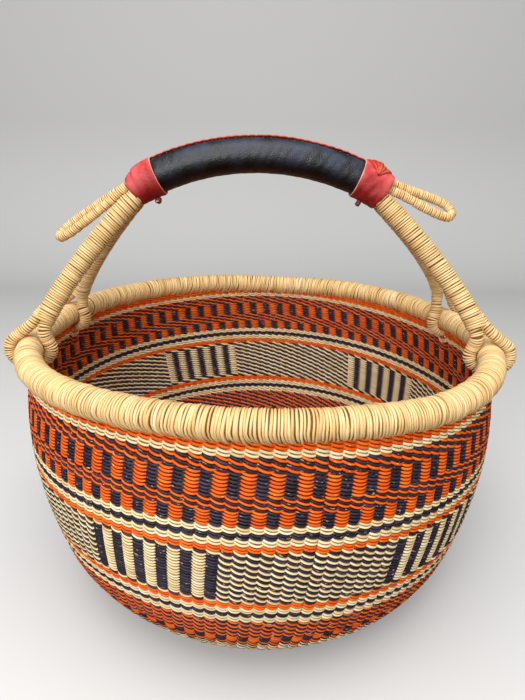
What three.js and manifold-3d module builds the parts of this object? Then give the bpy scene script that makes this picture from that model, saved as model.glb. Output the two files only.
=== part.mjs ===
// A round basket woven of dyed grass, with a wrapped rim and an arched handle whose middle is cased in
// leather. Millimetres, +Z up, origin on the table under the middle of the basket. The handle's line
// runs along X.
import * as THREE from "three";
import { mergeVertices } from "three/addons/utils/BufferGeometryUtils.js";
import Module from "manifold-3d";

const degrees = THREE.MathUtils.degToRad;

// Clearances
const fit_gap = 0.3; // between pieces that touch
const seam_gap = 0.4; // between one band of weave and the next
const cut_overrun = 3; // a cutting tool stands this far past what it cuts
const loop_play = 1.7; // the handle's loops hang this far under the rim
const loop_inner_gap = 0.6; // between the rim and a loop, inside the basket
const loop_outer_gap = 0.9; // and outside
const window_play = 3; // of a window's width over the loop's

// Rim
const rim_ring_radius = 195; // from the basket's axis to the middle of the rim's tube
const rim_tube_radius = 10.4;
const rim_binding_wall = 2.7; // the straw wound round the rim's core
const rim_height = 226; // mean height of the tube's middle over the table
const rim_sway = 6.3; // the rim is this much lower beside the handle, and higher at the front and back
const rim_stretch = 3.6; // and the handle pulls it this much wider on each side

// Wall
const skin_thickness = 1.5; // the weave's face on each side of the stakes
const stake_thickness = 0.9;
const stake_width = 6;
const stake_count = 24; // each stands for several of the real stakes, which are 148
const mouth_inset = 0.5; // the wall's outer face is this far inside the tube's middle at the top
const belly_bulge = 8.2; // and at the belly this far outside
const belly_height = 156;
const foot_radius = 80;
const start_radius = 34; // the middle of the base, where the weave starts
const belly_shares = [[0.195, 0.035], [0.373, 0.09], [0.674, 0.199], [0.844, 0.359], [0.925, 0.551], [0.98, 0.776]];
const neck_share = [0.276, 0.565];

// Heights over the table at which one band of weave ends and the next begins
const base_band_top = 43;
const lower_check_top = 79.5;
const lower_stripe_top = 97.5;
const panel_top = 143.5;
const upper_stripe_top = 162;

// Grip
const grip_arc_radius = 212;
const grip_half_chord = 85.5; // of the black leather
const grip_rise = 153; // from the rim's mean height to the middle of the grip
const grip_shift = -4; // the grip leans this far to the left of the basket's axis
const sleeve_radius = 14.4;
const sleeve_wall = 1.4;
const wrap_wall = 2.8; // the straw wrapped round the strands under the leather
const strand_radius = 3.7;
const strand_gap = 0.55; // between the four strands in the grip

// Cuffs
const cuff_length = 22;
const cuff_overlap = 3; // over the black leather
const cuff_wall = 1.2;
const left_cuff_taper = 1.7; // the cuff's radius is this much less at its outer end
const right_cuff_taper = 0.1;
const cuff_turn = degrees(10); // the handle bends by this much inside a cuff

// Legs, each a strand wound with straw, between a cuff and the rim
const loop_angle = degrees(15); // of each leg's foot, from the line of the handle
const leg_radius = 8.6;
const leg_foot_radius = 9.4;
const leg_sidestep = 6.5; // from the middle of the handle to a leg's strand, where it leaves the cuff
const leg_drop = 5.5; // of that place under the handle's middle line
const leg_ease = 38; // how far a leg keeps its first direction
const leg_foot_ease = 30; // and its last
const leg_slope = degrees(42);
const leg_splay = degrees(15);
const leg_foot_slope = degrees(58);
const leg_foot_splay = degrees(49);
const leg_foot_rise = 26.5; // of a leg's lower end over the middle of the rim's tube
const leg_foot_inset = 8.4; // that end is this far inside the middle of the rim's tube
const winding_start = 2.8; // from the cuff to the first turn
const winding_gap = 0.9; // between the strand and its winding

// Loops round the rim, two fingers each, which hang from a leg's lower end
const finger_radius = 5;
const finger_lead = 7; // a finger leaves the leg in the leg's own direction for this far
const outer_shoulders = [degrees(30), degrees(58)]; // up from outside, where the outer finger lies over the rim
const inner_shoulder = degrees(30); // and up from inside

// Ears, the bends of the strands past the cuffs
const left_ear_length = 82.5;
const left_ear_half_width = 7.4;
const left_ear_lift = 6; // over the handle's middle line, where it leaves the cuff
const left_ear_slope = degrees(33.5);
const left_ear_roll = degrees(27); // the rear strand of an ear lies higher than the front one
const right_ear_length = 64;
const right_ear_half_width = 8.8;
const right_ear_lift = 7.1;
const right_ear_slope = degrees(22.5);
const right_ear_roll = degrees(40);
const ear_sidestep = 4.1; // from the middle of an ear to each of its strands, at the cuff
const ear_shares = [[0.3, 0.9], [0.62, 1], [0.86, 0.86], [0.965, 0.5]]; // of its length and half width

// Lacing and ties
const lace_radius = 0.9;
const lace_stitches = 22;
const lace_half_width = 3.2; // of the row of stitches
const lace_angle = degrees(68); // of the seam, up from the rear of the grip
const lace_margin = 3; // from the cuff to the first stitch
const knot_radius = 3.2;
const knot_length = 9;
const tie_radius = 2.2;
const tie_length = 5;

// Counts of faces and steps
const ring_segments = 48;
const rim_steps = 7;
const grip_sides = 16;
const grip_steps = 8;
const cuff_steps = 3;
const strand_sides = 6;
const strand_steps = 64;
const leg_sides = 10;
const leg_steps = 7;
const loop_sides = 8;
const loop_steps = 16;
const lace_sides = 5;
const stitch_steps = 6;
const knot_sides = 8;

const wasm = await Module();
wasm.setup();

// Booleans
function solidOf(geometry) {
  const bare = geometry.clone();
  bare.deleteAttribute("normal");
  bare.deleteAttribute("uv");
  const merged = mergeVertices(bare);
  return new wasm.Manifold(new wasm.Mesh({
    numProp: 3,
    vertProperties: merged.attributes.position.array,
    triVerts: new Uint32Array(merged.index.array),
  }));
}

function geometryOf(solid) {
  const mesh = solid.getMesh();
  const geometry = new THREE.BufferGeometry();
  geometry.setAttribute("position", new THREE.BufferAttribute(mesh.vertProperties, mesh.numProp));
  geometry.setIndex(new THREE.BufferAttribute(mesh.triVerts, 1));
  geometry.computeVertexNormals();
  return geometry;
}

function cut(geometry, tools) {
  return geometryOf(tools.reduce((solid, tool) => solid.subtract(solidOf(tool)), solidOf(geometry)));
}

function union(geometries) {
  return geometryOf(geometries.slice(1).reduce((solid, g) => solid.add(solidOf(g)), solidOf(geometries[0])));
}

// The profile of a ring or a bowl, in (radius, height), turned round Z
function turned(profile) {
  return new THREE.LatheGeometry(profile, ring_segments).rotateX(Math.PI / 2);
}

// A tube through rings of {at, across, up, radius}; a ring with a bore makes it hollow.
function tube(rings, sides) {
  const places = [];
  const faces = [];
  const hollow = rings[0].bore !== undefined;
  const layers = hollow ? ["radius", "bore"] : ["radius"];
  for (const ring of rings) {
    for (const layer of layers) {
      for (let k = 0; k < sides; k++) {
        const angle = (2 * Math.PI * k) / sides;
        const p = ring.at.clone();
        p.addScaledVector(ring.across, ring[layer] * Math.cos(angle));
        p.addScaledVector(ring.up, ring[layer] * Math.sin(angle));
        places.push(p.x, p.y, p.z);
      }
    }
  }
  const stride = sides * layers.length;
  const last = (rings.length - 1) * stride;
  const quad = (a, b, c, d) => faces.push(a, b, c, a, c, d);
  for (let k = 0; k < sides; k++) {
    const next = (k + 1) % sides;
    for (let start = 0; start < last; start += stride) {
      quad(start + k, start + next, start + stride + next, start + stride + k);
      if (hollow) {
        const bore = start + sides;
        quad(bore + next, bore + k, bore + stride + k, bore + stride + next);
      }
    }
    if (hollow) {
      quad(next, k, sides + k, sides + next);
      quad(last + k, last + next, last + sides + next, last + sides + k);
    } else if (k > 0 && next > 0) {
      faces.push(0, next, k, last, last + k, last + next);
    }
  }
  const geometry = new THREE.BufferGeometry();
  geometry.setAttribute("position", new THREE.Float32BufferAttribute(places, 3));
  geometry.setIndex(faces);
  geometry.computeVertexNormals();
  return geometry;
}

// Rings evenly spaced along a curve, with no twist
function ringsAlong(curve, steps, radius) {
  const frames = curve.computeFrenetFrames(steps);
  return frames.tangents.map((tangent, i) => ({
    at: curve.getPointAt(i / steps),
    across: frames.normals[i],
    up: frames.binormals[i],
    radius,
  }));
}

// Materials
function finish(color, roughness) {
  return new THREE.MeshStandardMaterial({ color, roughness, metalness: 0 });
}
const straw = finish(0xd8b679, 0.7);
const grass = finish(0xc9a263, 0.8);
const rust_weave = finish(0xb2472a, 0.8);
const cream_weave = finish(0xdcc08a, 0.8);
const navy_weave = finish(0x2b2632, 0.8);
const black_leather = finish(0x1b1d22, 0.4);
const red_leather = finish(0x8f3328, 0.55);
const lace_leather = finish(0xb9482c, 0.5);

const basket = new THREE.Group();
const handle = new THREE.Group();
basket.add(handle);

function piece(group, name, geometry, material) {
  const mesh = new THREE.Mesh(geometry, material);
  mesh.name = name;
  group.add(mesh);
}

// The wall's outer face, from the edge of the flat base up to the rim, as points (radius, height)
const wall_thickness = 2 * skin_thickness + stake_thickness + 2 * fit_gap;
const rim_bore_radius = rim_tube_radius - rim_binding_wall;
const rim_core_radius = rim_bore_radius * Math.cos(Math.PI / rim_steps) - fit_gap; // clear of its flats
const wall_top = rim_height - rim_core_radius - 2 * fit_gap;
const mouth_radius = rim_ring_radius - mouth_inset;
const belly_radius = rim_ring_radius + belly_bulge;
const wall_face = new THREE.SplineCurve([
  new THREE.Vector2(foot_radius, 0),
  ...belly_shares.map(([out, up]) => new THREE.Vector2(
    THREE.MathUtils.lerp(foot_radius, belly_radius, out),
    up * belly_height,
  )),
  new THREE.Vector2(belly_radius, belly_height),
  new THREE.Vector2(
    THREE.MathUtils.lerp(belly_radius, mouth_radius, neck_share[0]),
    THREE.MathUtils.lerp(belly_height, wall_top, neck_share[1]),
  ),
  new THREE.Vector2(mouth_radius, wall_top),
]);

// Where along the wall's face a height lies, from 0 at the base to 1 at the top
function alongAt(height) {
  let low = 0;
  let high = 1;
  while (high - low > Number.EPSILON) {
    const middle = (low + high) / 2;
    if (middle <= low || middle >= high) break;
    if (wall_face.getPoint(middle).y < height) low = middle;
    else high = middle;
  }
  return high;
}

// A point of the wall, at a depth under its outer face
function wallPoint(along, depth) {
  const p = wall_face.getPoint(along);
  const tangent = wall_face.getTangent(along);
  return new THREE.Vector2(p.x - depth * tangent.y, p.y + depth * tangent.x);
}

// Every layer of the wall bends at the same places, so that the gaps between them stay even.
const bend_heights = [
  0,
  base_band_top / 8,
  (base_band_top * 3) / 8,
  base_band_top,
  (base_band_top + lower_check_top) / 2,
  lower_check_top,
  lower_stripe_top,
  (lower_stripe_top + panel_top) / 2,
  panel_top,
  upper_stripe_top,
  (upper_stripe_top + wall_top) / 2,
  wall_top,
];
const bends = bend_heights.map(alongAt);

// The two faces of a layer of the wall between two places along it: outer upwards, then inner downwards
function layer(from, to, depth, thickness) {
  const stops = [from, ...bends.filter((along) => along > from && along < to), to];
  const outer = stops.map((along) => wallPoint(along, depth));
  const inner = stops.map((along) => wallPoint(along, depth + thickness)).reverse();
  return { outer, inner };
}

// The rim sways, and the weave under it follows, by a share that fades to nothing at the table.
function swayAt(angle, height) {
  return -rim_sway * THREE.MathUtils.clamp(height / wall_top, 0, 1) * Math.cos(2 * angle);
}

// The handle's pull is felt most near the rim.
function stretchAt(angle, height) {
  return rim_stretch * THREE.MathUtils.clamp(height / wall_top, 0, 1) ** 3 * Math.cos(angle);
}

function swayed(geometry) {
  const places = geometry.attributes.position;
  for (let i = 0; i < places.count; i++) {
    const angle = Math.atan2(places.getY(i), places.getX(i));
    places.setX(i, places.getX(i) + stretchAt(angle, places.getZ(i)));
    places.setZ(i, places.getZ(i) + swayAt(angle, places.getZ(i)));
  }
  geometry.computeVertexNormals();
  return geometry;
}

// Windows through the top of the wall, one for each loop of the handle
const loop_depth = rim_tube_radius + loop_play + finger_radius; // of its lowest middle, under the tube's
const window_depth = loop_depth + finger_radius + loop_play + fit_gap;
const window_width = 2 * finger_radius + window_play;
const feet = {
  front_left: Math.PI + loop_angle,
  rear_left: Math.PI - loop_angle,
  front_right: -loop_angle,
  rear_right: loop_angle,
};

function windowTool(angle) {
  const height = window_depth + cut_overrun;
  const tool = new THREE.BoxGeometry(2 * (wall_thickness + rim_tube_radius), window_width, height);
  tool.translate(rim_ring_radius, 0, rim_height - window_depth + height / 2);
  return tool.rotateZ(angle);
}
const window_tools = Object.values(feet).map(windowTool);

// The weave's outer face, one ring for each band of colour
function stage(from, to, depth) {
  const { outer, inner } = layer(from, to, depth, skin_thickness);
  return turned([...outer, ...inner, outer[0]]);
}

function band(low, high) {
  return stage(alongAt(low), alongAt(high), 0);
}

function addBands() {
  const half_seam = seam_gap / 2;
  const bands = [
    ["lower_check_band", base_band_top, lower_check_top, rust_weave],
    ["lower_stripe_band", lower_check_top, lower_stripe_top, cream_weave],
    ["panel_band", lower_stripe_top, panel_top, navy_weave],
    ["upper_stripe_band", panel_top, upper_stripe_top, cream_weave],
  ];
  for (const [name, low, high, material] of bands) {
    piece(basket, name, swayed(band(low + half_seam, high - half_seam)), material);
  }
  const upper = cut(band(upper_stripe_top + half_seam, wall_top), window_tools);
  piece(basket, "upper_check_band", swayed(upper), rust_weave);
}

// The base: the start of the weave in the middle, a flat ring round it, and a band that turns up into the wall
function addBase() {
  const start = turned([
    new THREE.Vector2(0, 0),
    new THREE.Vector2(start_radius, 0),
    new THREE.Vector2(start_radius, skin_thickness),
    new THREE.Vector2(0, skin_thickness),
  ]);
  piece(basket, "base_start", start, cream_weave);
  const inner_edge = start_radius + seam_gap;
  const outer_edge = wallPoint(0, skin_thickness).x - seam_gap;
  const ring = turned([
    new THREE.Vector2(inner_edge, 0),
    new THREE.Vector2(outer_edge, 0),
    new THREE.Vector2(outer_edge, skin_thickness),
    new THREE.Vector2(inner_edge, skin_thickness),
    new THREE.Vector2(inner_edge, 0),
  ]);
  piece(basket, "base_ring", ring, rust_weave);
  const foot = stage(0, alongAt(base_band_top - seam_gap / 2), 0);
  piece(basket, "base_band", swayed(foot), rust_weave);
}

// The weave's inner face in stages, from the middle of the base to the rim
function addInnerFace() {
  const depth = wall_thickness - skin_thickness;
  const edge = wallPoint(0, wall_thickness).x - seam_gap;
  const disc = turned([
    new THREE.Vector2(0, depth),
    new THREE.Vector2(edge, depth),
    new THREE.Vector2(edge, wall_thickness),
    new THREE.Vector2(0, wall_thickness),
  ]);
  piece(basket, "inner_base_face", disc, rust_weave);
  const half_seam = seam_gap / 2;
  const stages = [
    ["inner_foot_face", 0, alongAt(base_band_top - half_seam)],
    ["inner_belly_face", alongAt(base_band_top + half_seam), alongAt(lower_stripe_top - half_seam)],
    ["inner_wall_face", alongAt(lower_stripe_top + half_seam), alongAt(upper_stripe_top - half_seam)],
  ];
  for (const [name, from, to] of stages) {
    piece(basket, name, swayed(stage(from, to, depth)), rust_weave);
  }
  const mouth = cut(stage(alongAt(upper_stripe_top + half_seam), 1, depth), window_tools);
  piece(basket, "inner_mouth_face", swayed(mouth), rust_weave);
}

// A stake, a flat rib between the two faces of the weave, from the start of the weave to the rim
const knot_share = 0.8; // of the start's radius, where the stakes run into the solid knot at its middle
function stake(angle, depth) {
  // The middle of a flat of the ring is nearer to the axis than its corners.
  const flat = Math.cos(Math.PI / ring_segments);
  const { outer, inner } = layer(0, 1, depth, stake_thickness);
  const rows = [
    [depth, depth + stake_thickness].map((height) => new THREE.Vector2(start_radius * knot_share, height)),
    ...outer.map((p, i) => [p, inner[inner.length - 1 - i]]),
  ];
  const places = [];
  const faces = [];
  rows.forEach(([low, high], i) => {
    for (const [p, side] of [[low, -1], [low, 1], [high, 1], [high, -1]]) {
      places.push(p.x * flat, (side * stake_width) / 2, p.y);
    }
    if (i === 0) return;
    for (let k = 0; k < 4; k++) {
      const a = (i - 1) * 4 + k;
      const b = (i - 1) * 4 + ((k + 1) % 4);
      faces.push(a, b, b + 4, a, b + 4, a + 4);
    }
  });
  const last = (rows.length - 1) * 4;
  faces.push(0, 2, 1, 0, 3, 2, last, last + 1, last + 2, last, last + 2, last + 3);
  const geometry = new THREE.BufferGeometry();
  geometry.setAttribute("position", new THREE.Float32BufferAttribute(places, 3));
  geometry.setIndex(faces);
  return geometry.rotateZ(angle);
}

function addStakes() {
  const depth = skin_thickness + fit_gap;
  const first = Math.PI / ring_segments;
  const spare = fit_gap / 6;
  const parts = [turned([
    new THREE.Vector2(0, depth - spare),
    new THREE.Vector2(start_radius, depth - spare),
    new THREE.Vector2(start_radius, depth + stake_thickness + spare),
    new THREE.Vector2(0, depth + stake_thickness + spare),
  ])];
  for (let i = 0; i < stake_count; i++) {
    parts.push(stake(first + (2 * Math.PI * i) / stake_count, depth));
  }
  piece(basket, "stakes", swayed(union(parts)), grass);
}

// The rim: a core of grass, bound with straw that is open below where the wall comes in
function arc(radius, from, to, steps) {
  const points = [];
  for (let i = 0; i <= steps; i++) {
    const angle = THREE.MathUtils.lerp(from, to, i / steps);
    points.push(new THREE.Vector2(
      rim_ring_radius + radius * Math.cos(angle),
      rim_height + radius * Math.sin(angle),
    ));
  }
  return points;
}

function addRim() {
  const core = turned(arc(rim_core_radius, 0, 2 * Math.PI, rim_steps));
  piece(basket, "rim_core", swayed(core), grass);
  const inner_corner = wallPoint(1, wall_thickness);
  const throat = wallPoint(alongAt(rim_height - rim_tube_radius), 0);
  const slot_turn = Math.asin((2 * fit_gap) / rim_bore_radius);
  const below = (p) => Math.atan2(p.y - rim_height, p.x - rim_ring_radius);
  const from = below(throat) + slot_turn;
  const to = below(inner_corner) - slot_turn + 2 * Math.PI;
  const outer = arc(rim_tube_radius, from, to, rim_steps);
  const inner = arc(rim_bore_radius, from, to, rim_steps).reverse();
  piece(basket, "rim_binding", swayed(turned([...outer, ...inner, outer[0]])), straw);
}

// The handle's middle line, by its length from the top of the arch, and its frame there
const grip_half_turn = Math.asin(grip_half_chord / grip_arc_radius);
const grip_half_length = grip_arc_radius * grip_half_turn;
const arch_top = rim_height + grip_rise;
const cuff_bend_radius = cuff_length / cuff_turn;

function gripFrame(s) {
  const side = Math.sign(s);
  const length = Math.abs(s);
  const turn = Math.min(length, grip_half_length) / grip_arc_radius;
  let x = grip_arc_radius * Math.sin(turn);
  let z = arch_top - grip_arc_radius * (1 - Math.cos(turn));
  let slope = turn;
  if (length > grip_half_length) {
    slope = turn + (length - grip_half_length) / cuff_bend_radius;
    x += cuff_bend_radius * (Math.sin(slope) - Math.sin(turn));
    z -= cuff_bend_radius * (Math.cos(turn) - Math.cos(slope));
  }
  return {
    at: new THREE.Vector3(side * x, 0, z),
    across: new THREE.Vector3(0, 1, 0),
    up: new THREE.Vector3(side * Math.sin(slope), 0, Math.cos(slope)),
  };
}

function gripPoint(s, across, up) {
  const frame = gripFrame(s);
  return frame.at.addScaledVector(frame.across, across).addScaledVector(frame.up, up);
}

// The grip leans to one side, more the higher it is over the rim.
function leaned(geometry) {
  const places = geometry.attributes.position;
  const low = rim_height + leg_foot_rise;
  for (let i = 0; i < places.count; i++) {
    const share = THREE.MathUtils.smoothstep(places.getZ(i), low, arch_top);
    places.setX(i, places.getX(i) + grip_shift * share);
  }
  geometry.computeVertexNormals();
  return geometry;
}

// Straight-ended sleeves round the grip
function gripSleeve(from, to, steps, radiusAt, wall) {
  const rings = [];
  for (let i = 0; i <= steps; i++) {
    const s = THREE.MathUtils.lerp(from, to, i / steps);
    const radius = radiusAt(s);
    rings.push({ ...gripFrame(s), radius, bore: radius - wall });
  }
  return leaned(tube(rings, grip_sides));
}

const wrap_radius = sleeve_radius - sleeve_wall - fit_gap;
const cuff_end = grip_half_length + cuff_length;
function addGrip() {
  const half = grip_half_length;
  const wrap = gripSleeve(-half, half, grip_steps, () => wrap_radius, wrap_wall);
  piece(handle, "grip_wrap", wrap, straw);
  const sleeve = gripSleeve(-half, half, grip_steps, () => sleeve_radius, sleeve_wall);
  piece(handle, "grip_sleeve", sleeve, black_leather);
  const start = half - cuff_overlap;
  const radiusWith = (taper) => (s) => {
    const past = Math.max(Math.abs(s) - half, 0) / cuff_length;
    return sleeve_radius + fit_gap + cuff_wall - taper * past;
  };
  const left = gripSleeve(-cuff_end, -start, cuff_steps, radiusWith(left_cuff_taper), cuff_wall);
  const right = gripSleeve(start, cuff_end, cuff_steps, radiusWith(right_cuff_taper), cuff_wall);
  piece(handle, "left_cuff", left, red_leather);
  piece(handle, "right_cuff", right, red_leather);
}

// A place beside the rim's tube, by its azimuth, outwards and upwards from the tube's middle
function rimPoint(azimuth, out, up) {
  const radius = rim_ring_radius + out;
  return new THREE.Vector3(
    radius * Math.cos(azimuth) + stretchAt(azimuth, wall_top),
    radius * Math.sin(azimuth),
    rim_height + swayAt(azimuth, wall_top) + up,
  );
}

// The direction of a leg, by its slope and its splay away from the handle's line
function legDirection(side, depth, slope, splay) {
  return new THREE.Vector3(
    side * Math.cos(slope) * Math.cos(splay),
    depth * Math.cos(slope) * Math.sin(splay),
    -Math.sin(slope),
  );
}

// The four feet, each on its side of the handle (left or right) and of its line (front or rear)
function legOf(azimuth) {
  const side = Math.sign(Math.cos(azimuth));
  const depth = Math.sign(Math.sin(azimuth));
  const start = gripPoint(side * cuff_end, depth * leg_sidestep, -leg_drop);
  const end = rimPoint(azimuth, -leg_foot_inset, leg_foot_rise);
  const first = legDirection(side, depth, leg_slope, leg_splay);
  const last = legDirection(side, depth, leg_foot_slope, leg_foot_splay);
  const curve = new THREE.CubicBezierCurve3(
    start,
    start.clone().addScaledVector(first, leg_ease),
    end.clone().addScaledVector(last, -leg_foot_ease),
    end,
  );
  return { curve, end, last };
}

// The straw winding of a leg, thinner at the top, where the two legs lie side by side
function legWinding(azimuth) {
  const { curve } = legOf(azimuth);
  const rings = ringsAlong(curve, leg_steps, leg_radius);
  rings.forEach((ring, i) => {
    const full = THREE.MathUtils.lerp(leg_radius, leg_foot_radius, i / leg_steps);
    ring.radius = Math.min(full, Math.abs(ring.at.y) - fit_gap);
    ring.bore = strand_radius + winding_gap;
  });
  rings[0].at.addScaledVector(curve.getTangent(0), winding_start);
  return leaned(tube(rings, leg_sides));
}

// A loop round the rim: two fingers that part at the leg's foot and meet under the rim
function rimLoop(azimuth) {
  const { end, last } = legOf(azimuth);
  const outward = rimPoint(azimuth, 1, 0).sub(rimPoint(azimuth, 0, 0));
  const aside = outward.clone().addScaledVector(last, -outward.dot(last)).normalize();
  const apart = finger_radius + fit_gap;
  const top = (way, lead) => end.clone()
    .addScaledVector(last, 2 * fit_gap + lead)
    .addScaledVector(aside, way * apart);
  const inner_out = -(rim_tube_radius + loop_inner_gap + finger_radius);
  const outer_out = rim_tube_radius + loop_outer_gap + finger_radius;
  const middle = (inner_out + outer_out) / 2;
  const half = (outer_out - inner_out) / 2;
  const round = (angle) => {
    return rimPoint(azimuth, middle + half * Math.cos(angle), loop_depth * Math.sin(angle));
  };
  const quarters = [0, 1, 2, 3, 4];
  const under = quarters.map((i) => round(Math.PI * (1 + i / 4)));
  const curve = new THREE.CatmullRomCurve3(
    [
      top(-1, 0),
      top(-1, finger_lead),
      round(Math.PI - inner_shoulder),
      ...under,
      ...outer_shoulders.map(round),
      top(1, finger_lead),
      top(1, 0),
    ],
    false,
    "centripetal",
  );
  return tube(ringsAlong(curve, loop_steps, finger_radius), loop_sides);
}

function addLegs() {
  for (const [name, azimuth] of Object.entries(feet)) {
    piece(handle, name + "_leg_winding", legWinding(azimuth), straw);
    piece(handle, name + "_rim_loop", rimLoop(azimuth), straw);
  }
}

// A strand of grass runs up one leg, along the grip, round the far ear, and back to the other leg.
const strand_offset = (2 * strand_radius + strand_gap) / Math.SQRT2; // from the grip's middle line
function gripStrand(side, first_angle) {
  const points = [];
  for (let i = 0; i <= grip_steps; i++) {
    const share = i / grip_steps;
    const s = side * THREE.MathUtils.lerp(-1, 1, share) * grip_half_length;
    const angle = first_angle + Math.PI * share * side;
    points.push(gripPoint(s, strand_offset * Math.cos(angle), strand_offset * Math.sin(angle)));
  }
  return points;
}

const left_ear = {
  side: -1,
  length: left_ear_length,
  half_width: left_ear_half_width,
  lift: left_ear_lift,
  slope: left_ear_slope,
  roll: left_ear_roll,
};
const right_ear = {
  side: 1,
  length: right_ear_length,
  half_width: right_ear_half_width,
  lift: right_ear_lift,
  slope: right_ear_slope,
  roll: right_ear_roll,
};

function earPoints({ side, length, half_width, lift, slope, roll }) {
  const start = gripPoint(side * cuff_end, 0, lift);
  const along = new THREE.Vector3(side * Math.cos(slope), 0, -Math.sin(slope));
  const up = new THREE.Vector3(side * Math.sin(slope), 0, Math.cos(slope));
  const wide = up.multiplyScalar(Math.sin(roll)).addScaledVector(new THREE.Vector3(0, 1, 0), Math.cos(roll));
  const reach = length - strand_radius;
  const place = (share, width) => start.clone()
    .addScaledVector(along, share * reach)
    .addScaledVector(wide, width * half_width);
  const going = ear_shares.map(([share, width]) => place(share, width));
  const coming = ear_shares.map(([share, width]) => place(share, -width)).reverse();
  const cuff = (way) => {
    const step = way * ear_sidestep;
    return gripPoint(side * cuff_end, step * Math.cos(roll), lift + step * Math.sin(roll));
  };
  return [cuff(1), ...going, place(1, 0), ...coming, cuff(-1)];
}

// The strand whose legs stand on one side makes the ear on the other.
function hairpin(ear) {
  const side = -ear.side;
  const [front, rear] = Object.values(feet).filter((azimuth) => Math.sign(Math.cos(azimuth)) === side);
  const legPoints = (azimuth) => legOf(azimuth).curve.getSpacedPoints(leg_steps);
  const out_angle = side < 0 ? degrees(225) : degrees(-45);
  const back_angle = side < 0 ? degrees(-45) : degrees(225);
  const first_leg = side < 0 ? front : rear;
  const last_leg = side < 0 ? rear : front;
  const points = [
    ...legPoints(first_leg).reverse(),
    ...gripStrand(-side, out_angle),
    ...earPoints(ear),
    ...gripStrand(-side, back_angle).reverse(),
    ...legPoints(last_leg),
  ];
  const curve = new THREE.CatmullRomCurve3(points, false, "centripetal");
  return leaned(tube(ringsAlong(curve, strand_steps, strand_radius), strand_sides));
}

function addHairpins() {
  piece(handle, "left_hairpin", hairpin(right_ear), grass);
  piece(handle, "right_hairpin", hairpin(left_ear), grass);
}

// The least gap of a tube to itself, measured on its middle line
function leastGap(points, radius, apart) {
  let least = Infinity;
  points.forEach((p, i) => points.slice(i + apart).forEach((q) => {
    least = Math.min(least, p.distanceTo(q) - 2 * radius);
  }));
  return least;
}

// The lace, one tube to and fro across the seam on the top of the grip
function addLacing() {
  const reach = grip_half_length - cuff_overlap - lace_margin - lace_radius;
  const radius = sleeve_radius + lace_radius + fit_gap;
  const steps = lace_stitches * stitch_steps;
  const points = [];
  for (let i = 0; i <= steps; i++) {
    const s = THREE.MathUtils.lerp(-reach, reach, i / steps);
    const swing = Math.sin((2 * Math.PI * i) / stitch_steps) * (lace_half_width - lace_radius);
    const angle = lace_angle + swing / radius;
    points.push(gripPoint(s, radius * Math.cos(angle), radius * Math.sin(angle)));
  }
  const curve = new THREE.CatmullRomCurve3(points);
  console.log("lacing: least gap to itself", leastGap(points, lace_radius, stitch_steps / 2).toFixed(2), "mm");
  const rings = ringsAlong(curve, steps, lace_radius);
  piece(handle, "grip_lacing", leaned(tube(rings, lace_sides)), lace_leather);
}

// A short round-ended peg between two places, for the knot and the ties
function peg(from, to, radius) {
  const rings = [];
  const dome_shares = [[0, 0.45], [0.25, 0.85], [0.6, 1]];
  const curve = new THREE.LineCurve3(from, to);
  const length = curve.getLength();
  const frames = curve.computeFrenetFrames(1);
  const add = (distance, share) => rings.push({
    at: curve.getPointAt(distance / length),
    across: frames.normals[0],
    up: frames.binormals[0],
    radius: radius * share,
  });
  dome_shares.forEach(([along, share]) => add(along * radius, share));
  [...dome_shares].reverse().forEach(([along, share]) => add(length - along * radius, share));
  return leaned(tube(rings, knot_sides));
}

function addKnots() {
  const cuff_middle = grip_half_length + cuff_length / 2;
  const cuff_top = sleeve_radius + fit_gap + cuff_wall;
  const knot_lift = cuff_top + knot_radius + fit_gap;
  const from = cuff_middle - knot_length / 2;
  const knot = peg(gripPoint(from, 0, knot_lift), gripPoint(from + knot_length, 0, knot_lift), knot_radius);
  piece(handle, "lace_knot", knot, lace_leather);
  for (const [name, side] of [["left_cuff_tie", -1], ["right_cuff_tie", 1]]) {
    const tie_drop = cuff_top + fit_gap;
    const high = gripPoint(side * cuff_middle, 0, -tie_drop);
    const low = gripPoint(side * cuff_middle, 0, -tie_drop - tie_length);
    piece(handle, name, peg(high, low, tie_radius), lace_leather);
  }
}

addBase();
addBands();
addInnerFace();
addStakes();
addRim();
addHairpins();
addGrip();
addLegs();
addLacing();
addKnots();

export default basket;
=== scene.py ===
"""The looks of a round basket twined from dyed grass, with a straw-bound rim and an arched handle.

Every strand of the weave and every turn of straw is modelled. Sizes are in millimetres until a mesh is
made, and heights called level are measured from the mean height of the rim's middle.
"""

import math

import bpy
import numpy as np
from mathutils import Matrix, Vector


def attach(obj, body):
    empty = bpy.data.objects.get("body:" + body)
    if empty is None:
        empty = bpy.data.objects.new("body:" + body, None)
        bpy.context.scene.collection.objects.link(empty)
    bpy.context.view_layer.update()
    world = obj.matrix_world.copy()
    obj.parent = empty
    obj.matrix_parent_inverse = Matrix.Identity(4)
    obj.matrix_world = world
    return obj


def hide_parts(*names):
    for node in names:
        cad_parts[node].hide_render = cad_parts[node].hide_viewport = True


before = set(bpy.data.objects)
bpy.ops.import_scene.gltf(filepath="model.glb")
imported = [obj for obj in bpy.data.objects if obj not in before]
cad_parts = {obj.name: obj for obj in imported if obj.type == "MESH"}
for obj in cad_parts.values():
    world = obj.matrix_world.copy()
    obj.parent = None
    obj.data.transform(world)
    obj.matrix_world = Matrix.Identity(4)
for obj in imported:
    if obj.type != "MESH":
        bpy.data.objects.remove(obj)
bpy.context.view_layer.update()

MM = 0.001
rng = np.random.default_rng(7)

# Rim
RIM_RADIUS = 195.0
RIM_TUBE = 10.4
RIM_HEIGHT = 226.0
RIM_SWAY = 6.3
RIM_STRETCH = 3.6
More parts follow.
